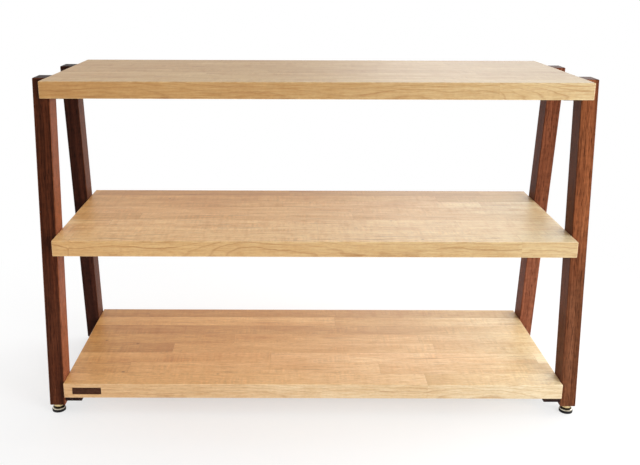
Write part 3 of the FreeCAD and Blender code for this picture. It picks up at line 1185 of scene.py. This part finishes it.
# %% [markdown]
# ## Turned brass and plated steel
# A lathe leaves fine rings, so the marks depend only on the height and the distance from the axis.
# Each foot could have its own material, but all four axes are alike once the signs of X and Y are dropped.
# A slow noise dulls the polish in places, as fingers do, and the recesses are painted dark as shade.

# %% Metal finishes
LATHE_MARKS = (2600, 2600, 1)
LATHE_DEPTH = 0.12
TARNISH = (260, 260, 260)
PAINTED_SHADE_COLOUR = srgb(30, 27, 24)


def turned_finish(name, bright, dull, roughness, recess=None, seam=0.0):
    """recess is a radius and a height in metres; what lies within the radius and below the height is
    painted dark as shade.

    What lies below the seam's height is painted dark as shade too, where two pieces meet.
    """
    material, shader, place = new_finish(name)
    x, y, z = split(place)
    from_x = minus(calc("ABSOLUTE", x), FOOT_X)
    from_y = minus(calc("ABSOLUTE", y), FOOT_Y)
    far = reach_of(from_x, from_y)
    marks = noise(join(far, z, 0.0), LATHE_MARKS, 3.0)
    worn = ramp(noise(place, TARNISH, 3.0), (0.38, 0.0), (0.7, 1.0))
    colour = mix(worn, bright, dull)
    rough = scaled(marks, LATHE_DEPTH, roughness - LATHE_DEPTH / 2)
    rough = scaled(worn, 0.1, rough)
    # painted shade: the recess and the seam are darkened where shade falls
    if recess:
        inside = calc("LESS_THAN", far, recess[0])
        below = calc("LESS_THAN", z, recess[1])
        in_recess = times(times(inside, below), 0.9)
        at_seam = times(calc("LESS_THAN", z, seam), 0.7)
        painted_shade = calc("MAXIMUM", in_recess, at_seam)
        colour = mix(painted_shade, colour, PAINTED_SHADE_COLOUR)
        rough = scaled(painted_shade, 0.35, rough)
    feed(shader, {"Base Color": colour, "Roughness": rough, "Metallic": 1.0})
    bump(shader, marks, strength=0.1, distance=0.0001)
    return material


brass = turned_finish(
    "turned_brass", srgb(226, 202, 152), srgb(152, 126, 80), 0.24, recess=(0.0095, 0.0131),
)
nickel = turned_finish(
    "plated_ring", srgb(222, 214, 196), srgb(172, 162, 142), 0.24, recess=(0.0138, 0.02), seam=0.0074,
)
zinc = turned_finish("zinc_screws", srgb(186, 186, 182), srgb(136, 136, 134), 0.38)
metal_pieces = (
    (brass, [*foot_pieces["levelling_screw"], nodes["foot_inserts"]]),
    (nickel, foot_pieces["foot_ring"]),
    (zinc, screw_sets),
)
for finish, pieces in metal_pieces:
    for piece in pieces:
        dress(piece, finish)
print("metal finishes:", {finish.name: len(pieces) for finish, pieces in metal_pieces})

# %% [markdown]
# ## Black pads and the bare plate
# The pads are moulded black rubber: matt, slightly grainy, and greyed where dust has rubbed in.
# The plate is dark bronze with a fine brushing along its length, and nothing is marked on it.
# Plain colours would nearly do for both, but a little noise in the roughness breaks up the light on them.

# %% Rubber
RUBBER_GRAIN = (1500, 1500, 1500)
DUST = (190, 190, 190)

rubber, shader, place = new_finish("black_rubber")
grain = noise(place, RUBBER_GRAIN)
dusty = ramp(noise(place, DUST, 3.0), (0.45, 0.0), (0.8, 0.6))
black = mix(dusty, srgb(13, 13, 13), srgb(36, 35, 33))
rough = scaled(grain, 0.2, 0.5)
feed(shader, {"Base Color": black, "Roughness": rough, "Specular IOR Level": 0.25})
bump(shader, grain, strength=0.2, distance=0.0002)
for piece in foot_pieces["foot_base"]:
    dress(piece, rubber)
print("pads:", len(foot_pieces["foot_base"]))

# %% Bronze
BRUSHING = (60, 2400, 2400)
PATINA = (120, 120, 220)

bronze, shader, place = new_finish("bare_bronze")
brushing = noise(place, BRUSHING, 3.0)
aged = ramp(noise(place, PATINA, 3.0), (0.35, 0.0), (0.7, 1.0))
brown = mix(aged, srgb(60, 34, 22), srgb(80, 49, 34))
brown = mix(times(brushing, 0.35), brown, srgb(40, 21, 14))
rough = scaled(brushing, 0.2, 0.35)
feed(shader, {"Base Color": brown, "Roughness": rough, "Metallic": 0.1, "Specular IOR Level": 0.1})
bump(shader, brushing, strength=0.12, distance=0.0002)
dress(plate, bronze)
print("plate:", plate.name)

# %% [markdown]
# ## Floor, light and background
# A pale floor carries the rack's soft shadow, and fades to white further out, where the picture ends.
# A bare white world would leave the rack floating, and a grey floor would end in a hard line.
# Camera and mirror rays see plain white out there, whatever the strength of the world as a light.

# %% Floor
FLOOR_WIDE = 30
FADE_REACH = 4.0
WHITE = (1, 1, 1, 1)


def seen_rays():
    """1 for what a camera, a mirror or glass looks at, and 0 for light that falls on the rack."""
    path = add("LightPath").outputs
    mirrored = calc("MAXIMUM", path["Is Glossy Ray"], path["Is Transmission Ray"])
    return calc("MAXIMUM", path["Is Camera Ray"], mirrored)


begin()
bpy.ops.mesh.primitive_plane_add(size=FLOOR_WIDE, location=(0, 0, 0))
floor = settle("floor")
floor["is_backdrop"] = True
pale, shader, place = new_finish("pale_floor")
x, y, _ = split(place)
fade = ramp(calc("DIVIDE", reach_of(x, y), FADE_REACH), (0.1, 0.55), (0.35, 1.0))
feed(shader, {"Base Color": (0.95, 0.95, 0.95, 1), "Roughness": 0.9})
glow = add("Emission", WHITE, 1.0)
blend = add("MixShader", times(fade, seen_rays()), shader.outputs[0], glow.outputs[0])
fill(bench.tree.nodes["Material Output"].inputs["Surface"], blend.outputs[0])
dress(floor, pale)
print("floor:", tuple(floor.dimensions))

# %% [markdown]
# Four lamps shape the rack, all from the right: a key lamp in front, a wide window lamp, and two behind.
# One lamp could light it, but the two behind are there for a sheen on the tops of the slabs.
# The key lamp is kept out of the gloss, so that it shapes the wood and adds no highlight of its own.

# %% Lamps
# for each lamp its place, what it looks at, its width in metres and its watts
LAMPS = {
    "key_lamp": ((2.4, -2.4, 1.0), (0, 0, 0.3), 1.8, 90),
    "window_lamp": ((3.0, 1.2, 1.8), (0, 0, 0.3), 4.0, 100),
    "sheen_lamp": ((2.3, 3.2, 1.3), (0.2, 0, 0.4), 4.0, 25),
    "gleam_lamp": ((1.0, 3.0, 2.2), (0.2, 0, 0.3), 2.0, 14),
}
for name, (at, target, size, watts) in LAMPS.items():
    data = bpy.data.lights.new(name, "AREA")
    data.shape = "DISK"
    data.size = size
    data.energy = watts
    lamp = bpy.data.objects.new(name, data)
    bpy.context.scene.collection.objects.link(lamp)
    lamp.location = at
    lamp.rotation_euler = (Vector(target) - Vector(at)).to_track_quat("-Z", "Y").to_euler()
    lamp.visible_glossy = name != "key_lamp"
print("lamps:", list(LAMPS))

# %% World
WORLD_LIGHT = 0.69

world = bpy.data.worlds.new("studio")
bpy.context.scene.world = world
world.use_nodes = True
bench.tree = world.node_tree
strength = scaled(seen_rays(), 1.0 - WORLD_LIGHT, WORLD_LIGHT)
feed(bench.tree.nodes["Background"], {"Color": WHITE, "Strength": strength})
bpy.context.scene.view_settings.view_transform = "Standard"
print("world light:", WORLD_LIGHT)

# %% [markdown]
# ## Comparing the boxes
# The finished pieces must not outgrow the CAD model, so the difference between the two boxes is printed.

# %% Compare the boxes
visual_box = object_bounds()
pairs = zip([*cad_box[0], *cad_box[1]], [*visual_box[0], *visual_box[1]])
print("visual box less CAD box, mm:", [round((v - c) * MM_PER_M, 3) for c, v in pairs])
